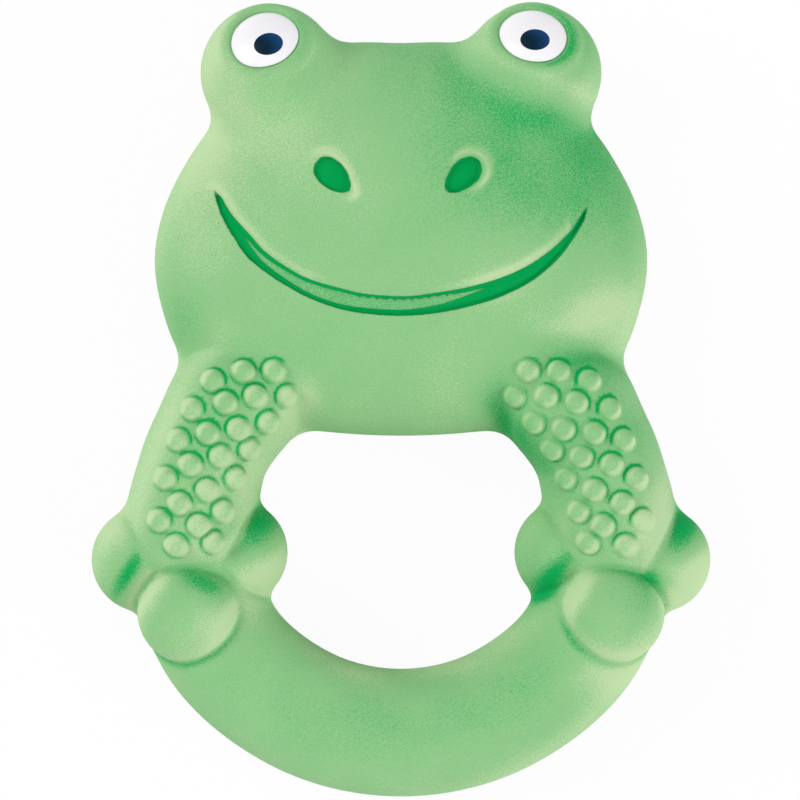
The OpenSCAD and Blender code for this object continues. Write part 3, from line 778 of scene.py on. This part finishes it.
def painted_light_and_shade(p, normal):
    """Painted light and shade on each point: above 0 is paler than the rubber and below 0 deeper. The back
    has none.
    """
    x, y, z = folded(p)
    across, along = normal @ PAINTED_LIGHT_ACROSS, normal @ PAINTED_LIGHT_AND_SHADE_ALONG
    # Painted light on slopes facing the lower right or the upper left and on those facing the lower left,
    # painted shade on those facing the upper right
    tone = 0.5 * step(np.abs(across), 0.4, 0.9) - 0.1 * step(along, 0.35, 0.9) + 0.15 * step(-along, 0.3, 0.9)
    off_arm = step(ring_and_arm(x, y, z)[1], 0.1, 0.7)
    tone += patches(p, SHADE_AND_LIGHT_PATCHES) + patches(p, TOE_SHADE_AND_LIGHT_PATCHES) * off_arm + nub_shade_and_highlights(p) + face_shade_and_highlights(p) + toe_shade_and_highlights(p)
    return tone * step(z, -3, 2)


# Paint along each lip, at places from left to right
LOWER_PAINT_SHARES = [
    [-26.5, 1], [-22.5, 0.7], [-19.5, 0.4], [-12, 0.22], [-9, 0.22], [-5, 0.27], [0.6, 0.29], [4, 0.35],
    [6.4, 0.42], [9.2, 0.58], [13, 0.8], [14.5, 1], [26.5, 1]
]
UPPER_PAINT_SHARES = [
    [-26.5, 0.5], [-22.5, 0.3], [-19.5, 0.26], [-12, 0.18], [-8, 0.16], [-4, 0.14], [6, 0.14], [9, 0.2],
    [12, 0.24], [14.5, 0.4]
]


def paint_shares(x):
    """Shares of the mouth's height that the paint along the lower and the upper lip takes."""
    return (np.interp(x, *np.transpose(table)) for table in (LOWER_PAINT_SHARES, UPPER_PAINT_SHARES))


def painted(p):
    """1 where the mouth's lines are painted, and 0 elsewhere."""
    above, below = mouth_reach(p[:, 0], p[:, 1])
    share = above / np.maximum(above + below, 1e-6)
    lower, upper = paint_shares(p[:, 0])
    between_lips = (np.minimum(above, below) > 0.05) & (p[:, 2] > PART_Z + FACE_LOW)
    return (between_lips & ((share < lower) | (share > 1 - upper))).astype(float)


def lowered(p, level):
    """Brings points onto the skin by moving them along Z alone, or as far outside it as level says."""
    p, small, most = p.copy(), np.array([0, 0, 0.02]), 0.4
    for _ in range(8):
        steep = (skin(p + small) - skin(p - small)) / (2 * small[2])
        p[:, 2] -= np.clip((skin(p) - level) / np.maximum(steep, 0.4), -most, most)
    return p


def mark_skin(piece):
    """Stores how deep in a crease each point lies, from 0 to 1, for painted shade in creases, and its painted
    light and shade and its paint.
    """
    p = points_of(piece)
    normal = unit(slope(skin, p))
    deep = sum(weight * np.clip(1 - skin(p + normal * r) / r, 0, 1)
               for r, weight in ((0.5, 0.35), (1.2, 0.35), (3.0, 0.3)))
    store(piece, "crease", np.clip(deep, 0, 1))
    store(piece, "tone", painted_light_and_shade(p, normal))
    store(piece, "paint", painted(p))


def shells():
    """Front and back skins, hollow and closed."""
    points, faces = net(skin, PITCH)
    points = even(points, faces, skin, 4)
    whole = mesh_of("whole", points, faces)
    refine(whole, lambda p: nubs(p) < NEAR_NUB)
    refine(whole, near_lines)
    refine(whole, lambda p: np.abs(p[:, 2] - PART_Z) < NEAR_SEAM)
    refine(whole, near_lines)
    whole.data.vertices.foreach_set("co", (onto(points_of(whole), skin, 4) * MM).ravel())
    whole.data.update()
    back, front = halves(whole, ("back_skin", "front_skin"))
    bpy.data.objects.remove(whole)
    points, faces = net(hollow, INNER_PITCH)
    points = onto(points, hollow, 2)
    for piece in (back, front):
        carve(piece, mesh_of("inner", points, faces))
    wide, narrow = FLANGE_R + HOLE_GAP, NECK_R + HOLE_GAP
    carve(back, turned([(wide, HOLE_LOW), (wide, SEAT_Z), (narrow, SEAT_Z), (narrow, HOLE_HIGH)]))
    for piece in (back, front):
        mark_skin(piece)
        shade_smooth(piece)
    return back, front


back_skin, front_skin = shells()


def face_height(x, y):
    """Height of the head's pillow over a place on the face."""
    reach = np.minimum(np.hypot(x, y - HEAD_Y) / head_radius(x, y), 0.98)
    return PART_Z + FACE_DEPTH * (1 - reach ** FACE_POWER) ** (1 / FACE_POWER)


def closed_film(name, top, bottom, faces):
    """Closed thin piece between two layers of points that share one set of faces."""
    n = len(top)
    sides = {(a, b): face for face in faces for a, b in zip(face, np.roll(face, -1))}
    walls = [[b, a, a + n, b + n] for a, b in sides if (b, a) not in sides]
    under = [[v + n for v in face[::-1]] for face in faces]
    return mesh_of(name, np.vstack([top, bottom]), [list(f) for f in faces] + under + walls)


def disc(rings, n):
    """Share of the way out and turn of a disc's points, its middle first, and its anticlockwise faces."""
    out, turn = np.meshgrid(np.arange(1, rings + 1) / rings, np.arange(n) * 2 * math.pi / n, indexing="ij")
    faces = [[0, 1 + k, 1 + (k + 1) % n] for k in range(n)]
    for i in range(rings - 1):
        a, b = 1 + i * n, 1 + (i + 1) * n
        faces += [[a + k, b + k, b + (k + 1) % n, a + (k + 1) % n] for k in range(n)]
    return np.append(0, out), np.append(0, turn), faces


def nostril_paint(side):
    """Paint on the floor of a nostril. side is 1 on the right and -1 on the left."""
    out, turn, faces = disc(14, 72)
    reach = out * (0.98 + 0.012 * np.sin(5 * turn + side) + 0.01 * np.sin(11 * turn + 2 * side))
    u = reach * np.cos(turn)
    v = reach * np.sin(turn) * (1 + NOSTRIL_LEAF * u)
    u, v = spun(u * NOSTRIL_L / 2, v * NOSTRIL_W / 2, NOSTRIL_SLANT)
    x, y = NOSTRIL_X + side * (NOSTRIL_SPREAD / 2 + u), NOSTRIL_Y + v
    p = np.stack([x, y, face_height(x, y) - NOSTRIL_DEPTH], 1)
    faces = [f[::side] for f in faces]
    return closed_film("nostril_paint_" + SIDES[side], lowered(p, FILM_LIFT), lowered(p, -FILM_SINK), faces)


def mouth_paint():
    """Paint in the lines along the lips. It fills the whole mouth at its corners."""
    n, low_rows, high_rows, inset = 520, 6, 5, 0.12
    x = np.linspace(LOWER_LIP[0][0] + inset, LOWER_LIP[-1][0] - inset, n)
    low, high = (np.interp(x, line[:, 0], line[:, 1]) for line in (LOWER_LINE, UPPER_LINE))
    rough = 0.5 * np.sin(5.1 * x) + 0.3 * np.sin(12.7 * x + 1) + 0.4 * np.sin(20.3 * x + 2)
    lower, upper = paint_shares(x)
    lower, upper = lower + 0.012 * rough, upper + 0.09 * rough * (1 - step(np.abs(x - 1), 6, 9))
    full = lower + upper > 0.97
    split = lower / (lower + upper)
    lower = np.where(full, split * 0.96, lower)
    upper = np.where(full, (1 - split) * 0.96, np.maximum(upper, 0.03))
    shares = [lower * k / low_rows for k in range(low_rows + 1)]
    shares += [1 - upper * k / high_rows for k in range(high_rows, -1, -1)]
    y = np.concatenate([low + (high - low) * share for share in shares])
    x = np.tile(x, len(shares))
    p = np.column_stack([x, y, face_height(x, y) - MOUTH_LINE])
    top, bottom = lowered(p, FILM_LIFT), lowered(p, -FILM_SINK)
    faces = [[i * n + k, i * n + k + 1, (i + 1) * n + k + 1, (i + 1) * n + k]
             for i in range(len(shares) - 1) for k in range(n - 1)
             if i != low_rows or full[k] and full[k + 1]]
    return closed_film("mouth_paint", top, bottom, faces)


def dome_point(direction, radius):
    """Places in a direction from the right dome's middle."""
    return np.array(EYE) + [0, 0, PART_Z] + direction * np.asarray(radius)[:, None]


def dome_film(kind, side, top, bottom, faces):
    """Film on the right dome, or mirrored for the left one."""
    if side < 0:
        top, bottom = top * [-1, 1, 1], bottom * [-1, 1, 1]
        faces = [f[::-1] for f in faces]
    return closed_film(kind + SIDES[side], top, bottom, faces)


def looking(frame_of, out, turn):
    """Directions at an angle out from a gaze and a turn about it."""
    axis, right, above = frame_of
    around = np.cos(turn)[:, None] * right + np.sin(turn)[:, None] * above
    return np.cos(out)[:, None] * axis + np.sin(out)[:, None] * around


def white_radius(share):
    """How far from the dome's middle the white's glossy bulge lies, at a share of the way to its edge."""
    share = np.clip(share, 0, 1)
    return EYE_R - WHITE_SINK + WHITE_RISE + WHITE_BULGE * (1 - share ** 2) - WHITE_RISE * share ** 12


def eye_white(side):
    """Glossy white in its recess, with a slightly uneven edge."""
    out, turn, faces = disc(22, 96)
    angle = out * white_edge(turn) * (0.985 + 0.006 * np.sin(5 * turn))
    way = looking(EYE_FRAMES[side], angle, turn)
    bottom = dome_point(way, np.full(len(way), EYE_R - WHITE_SINK - EYE_FILM))
    return dome_film("eye_white_", side, dome_point(way, white_radius(out)), bottom, faces)


def pupil(side):
    """Oval pupil on the white, bluer towards its edge and its upper right."""
    out, turn, faces = disc(12, 72)
    u, v = out * np.cos(turn) * PUPIL_W / 2, out * np.sin(turn) * PUPIL_W / 2 * PUPIL_SLIM
    u, v = spun(u, v, PUPIL_TILT[side])
    way = looking(gaze_frame(*PUPIL_GAZES[side]), np.hypot(u, v) / EYE_R, np.arctan2(v, u))
    base = white_radius(np.arccos(np.clip(way @ EYE_FRAMES[side][0], -1, 1)) / WHITE_ANGLE)
    top = dome_point(way, base + PUPIL_BULGE * (1 - out ** 6) + PUPIL_EDGE)
    piece = dome_film("pupil_", side, top, dome_point(way, base - EYE_FILM), faces)
    blue = np.tile(0.15 + 0.35 * side * u + 0.25 * v + 0.35 * out ** 2, 2)
    store(piece, "tone", np.clip(blue, 0, 1))
    return piece


def srgb(*levels):
    """Linear colour from levels out of 255."""
    c = np.array(levels) / 255
    return (*np.where(c <= 0.04045, c / 12.92, ((c + 0.055) / 1.055) ** 2.4), 1.0)


class Paint:
    """A node material under construction."""

    def __init__(self, name):
        self.material = bpy.data.materials.new(name)
        self.material.use_nodes = True
        self.nodes, self.links = self.material.node_tree.nodes, self.material.node_tree.links
        self.shader = self.nodes["Principled BSDF"]
        self.place = self.add("ShaderNodeTexCoord").outputs["Object"]

    def add(self, kind, **settings):
        node = self.nodes.new(kind)
        for key, value in settings.items():
            setattr(node, key, value)
        return node

    def put(self, node, socket, value):
        """Sets or links an input."""
        target = node.inputs[socket]
        if isinstance(value, bpy.types.NodeSocket):
            self.links.new(value, target)
        else:
            target.default_value = value

    def fill(self, node, **values):
        """Sets or links inputs by name."""
        for key, value in values.items():
            self.put(node, key.replace("_", " "), value)

    def set(self, **values):
        """Sets or links the shader's own inputs."""
        self.fill(self.shader, **values)

    def noise(self, size, detail):
        """Noise from 0 to 1 whose features have a size in millimetres."""
        node = self.add("ShaderNodeTexNoise")
        self.fill(node, Vector=self.place, Scale=1 / (size * MM), Detail=detail)
        return node.outputs["Fac"]

    def remap(self, value, low, high, to_low, to_high):
        """Soft way from one value to another."""
        node = self.add("ShaderNodeMapRange", interpolation_type="SMOOTHSTEP")
        self.fill(node, Value=value, From_Min=low, From_Max=high, To_Min=to_low, To_Max=to_high)
        return node.outputs["Result"]

    def math(self, operation, a, b):
        node = self.add("ShaderNodeMath", operation=operation)
        self.put(node, 0, a)
        self.put(node, 1, b)
        return node.outputs[0]

    def mix(self, share, a, b, blend="MIX"):
        node = self.add("ShaderNodeMix", data_type="RGBA", blend_type=blend)
        for key, v in ((0, share), (6, a), (7, b)):
            self.put(node, key, v)
        return node.outputs[2]

    def attribute(self, name):
        return self.add("ShaderNodeAttribute", attribute_name=name).outputs["Fac"]

    def bump(self, height, depth, before=None):
        """Bump of a depth in millimetres."""
        node = self.add("ShaderNodeBump")
        self.fill(node, Distance=depth * MM, Height=height)
        if before is not None:
            self.fill(node, Normal=before)
        return node.outputs["Normal"]


# Rubber's own green, the deeper green of its painted shade and the paler green of its painted light, both
# also used by its grain, and the paint
BODY, DEEP_SHADE_AND_GRAIN, PALE_LIGHT_AND_GRAIN = srgb(141, 196, 135), srgb(0, 167, 85), srgb(190, 217, 167)
GREEN_PAINT = srgb(0, 158, 79)


def rubber(name):
    """Matt, finely grained rubber with painted light and shade, and painted shade of deeper green in creases.
    """
    m = Paint(name)
    grain = m.noise(0.2, 1)
    # The tone attribute holds painted light and shade; random tone and the grain are laid over it
    tone = m.math("ADD", m.attribute("tone"), m.remap(m.noise(9, 2), 0.25, 0.75, -0.1, 0.1))
    tone = m.math("ADD", tone, m.remap(grain, 0.3, 0.7, -0.23, 0.23))
    color = m.mix(m.remap(tone, 0.0, 1.0, 0, 0.95), BODY, PALE_LIGHT_AND_GRAIN)
    color = m.mix(m.remap(m.math("MULTIPLY", tone, -1.0), 0.0, 1.2, 0, 1.0), color, DEEP_SHADE_AND_GRAIN)
    # Painted shade: deeper green where a point lies deep in a crease
    color = m.mix(m.remap(m.attribute("crease"), 0.1, 0.8, 0, 0.5), color, DEEP_SHADE_AND_GRAIN)
    color = m.mix(m.attribute("paint"), color, GREEN_PAINT)
    m.set(Base_Color=color, Roughness=m.remap(grain, 0.3, 0.7, 0.82, 0.66), Specular_IOR_Level=0.14)
    m.set(Subsurface_Weight=0.2, Subsurface_Radius=(0.5, 1.0, 0.45), Subsurface_Scale=0.8 * MM)
    wide = m.bump(m.noise(2.2, 2), 0.05)
    m.set(Normal=m.bump(grain, 0.03, wide))
    return m.material


def smooth_paint(name, color, roughness, shine=0.5, tone=None):
    """Paint with a faint unevenness, and another colour where the mesh has a tone."""
    m = Paint(name)
    if tone is not None:
        color = m.mix(m.attribute("tone"), color, tone)
    grain = m.noise(0.8, 2)
    shade = m.mix(m.remap(grain, 0.3, 0.7, 0, 0.04), color, (0.5, 0.5, 0.5, 1), "MULTIPLY")
    m.set(Base_Color=shade, Roughness=m.remap(grain, 0.2, 0.8, roughness * 0.85, roughness * 1.15),
          Specular_IOR_Level=shine)
    m.set(Normal=m.bump(grain, 0.006))
    return m.material


def moulded_plastic(name, color, roughness):
    """Translucent moulded plastic with faint tool marks."""
    m = Paint(name)
    grain = m.noise(0.5, 3)
    m.set(Base_Color=m.mix(m.remap(grain, 0.3, 0.7, 0, 0.06), color, srgb(150, 150, 140)),
          Roughness=m.remap(grain, 0.2, 0.8, roughness * 0.8, roughness * 1.2))
    m.set(Subsurface_Weight=0.3, Subsurface_Radius=(1, 1, 0.9), Subsurface_Scale=0.8 * MM)
    m.set(Normal=m.bump(grain, 0.008))
    return m.material


def finish_piece(piece, material, slot, *nodes):
    """Gives a piece its material and hides the CAD's nodes that it stands for."""
    piece.data.materials.clear()
    piece.data.materials.append(material)
    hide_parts(*nodes)


def bend_with_face(piece):
    """Bakes the piece's place into its mesh."""
    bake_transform(piece)


def dress():
    """Materials of every piece, and the back skin's body."""
    finish_piece(front_skin, rubber("rubber_front"), "rubber_front", "front_shell")
    finish_piece(back_skin, rubber("rubber_back"), "rubber_back", "back_shell")
    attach(back_skin, "back")
    bend_with_face(front_skin)
    white = smooth_paint("white_paint", srgb(246, 244, 248), 0.35)
    navy = smooth_paint("navy_paint", srgb(2, 34, 50), 0.35, 0.12, srgb(14, 62, 112))
    green = smooth_paint("green_paint", GREEN_PAINT, 0.8, 0.05)
    makers = ((eye_white, white, "white_paint"), (pupil, navy, "navy_paint"),
              (nostril_paint, green, "green_paint"))
    films = [(make(side), material, slot) for side in SIDES for make, material, slot in makers]
    for film, material, slot in films + [(mouth_paint(), green, "green_paint")]:
        finish_piece(film, material, slot, film.name.split(".")[0])
        shade_smooth(film)
        bend_with_face(film)
    plastics = {"squeaker_cup": ("squeaker_plastic", (238, 235, 224), 0.4),
                "squeaker_lid": ("squeaker_lid_plastic", (232, 230, 222), 0.4),
                "reed_bed": ("reed_plastic", (240, 240, 240), 0.4),
                "reed_clamp": ("reed_clamp_plastic", (236, 236, 238), 0.4),
                "reed": ("reed_film", (205, 222, 236), 0.2)}
    for node, (name, levels, roughness) in plastics.items():
        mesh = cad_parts[node].data
        mesh.materials.clear()
        mesh.materials.append(moulded_plastic(name, srgb(*levels), roughness))


def floor():
    """Pale floor that keeps the object's shadow, and that the camera sees close to white."""
    bpy.ops.mesh.primitive_plane_add(size=4)
    plane = bpy.context.object
    plane.name = "floor"
    m = Paint("floor")
    m.set(Base_Color=srgb(240, 240, 240), Roughness=0.9, Specular_IOR_Level=0.1)
    path = m.add("ShaderNodeLightPath").outputs
    mirrored = m.math("MAXIMUM", path["Is Glossy Ray"], path["Is Transmission Ray"])
    seen = m.math("MAXIMUM", path["Is Camera Ray"], mirrored)
    glow = m.add("ShaderNodeEmission")
    both = m.add("ShaderNodeMixShader")
    m.put(both, 0, m.math("MULTIPLY", seen, 0.95))
    m.links.new(m.shader.outputs[0], both.inputs[1])
    m.links.new(glow.outputs[0], both.inputs[2])
    m.links.new(both.outputs[0], m.nodes["Material Output"].inputs["Surface"])
    plane.data.materials.append(m.material)


def sun(name, toward, strength, angle):
    """Soft light from a direction, as wide as an angle in degrees."""
    light = bpy.data.lights.new(name, "SUN")
    light.energy, light.angle = strength, math.radians(angle)
    way = unit(np.array(toward, float))
    placed(name, light).rotation_euler = (math.acos(way[2]), 0, math.atan2(way[0], -way[1]))


def lights():
    """Soft light from the upper left and from the lower right."""
    world = bpy.data.worlds.new("world")
    world.use_nodes = True
    sky = world.node_tree.nodes["Background"].inputs
    sky["Color"].default_value = (1, 1, 1, 1)
    sky["Strength"].default_value = 0.58
    bpy.context.scene.world = world
    sun("key", (-0.8, 0.3, 0.62), 1.43, 35)
    sun("fill", (0.8, -0.5, 0.6), 1.38, 35)


def camera():
    """Straight above the face, framed as the photograph is: one pixel is a 7.018th of a millimetre."""
    pixels_per_mm, image = 7.018, 800
    middle_x, middle_y = 401.0, 400.5
    distance = 1500.0
    view = bpy.data.cameras.new("camera")
    view.sensor_width = 36
    view.lens = view.sensor_width * distance * pixels_per_mm / image
    view.clip_end = 10
    eye = placed("camera", view)
    eye.location = ((image / 2 - middle_x) / pixels_per_mm * MM, (middle_y - image / 2) / pixels_per_mm * MM,
                    (PART_Z + distance) * MM)
    bpy.context.scene.camera = eye


dress()
floor()
lights()
camera()
bpy.context.scene.view_settings.view_transform = "Standard"
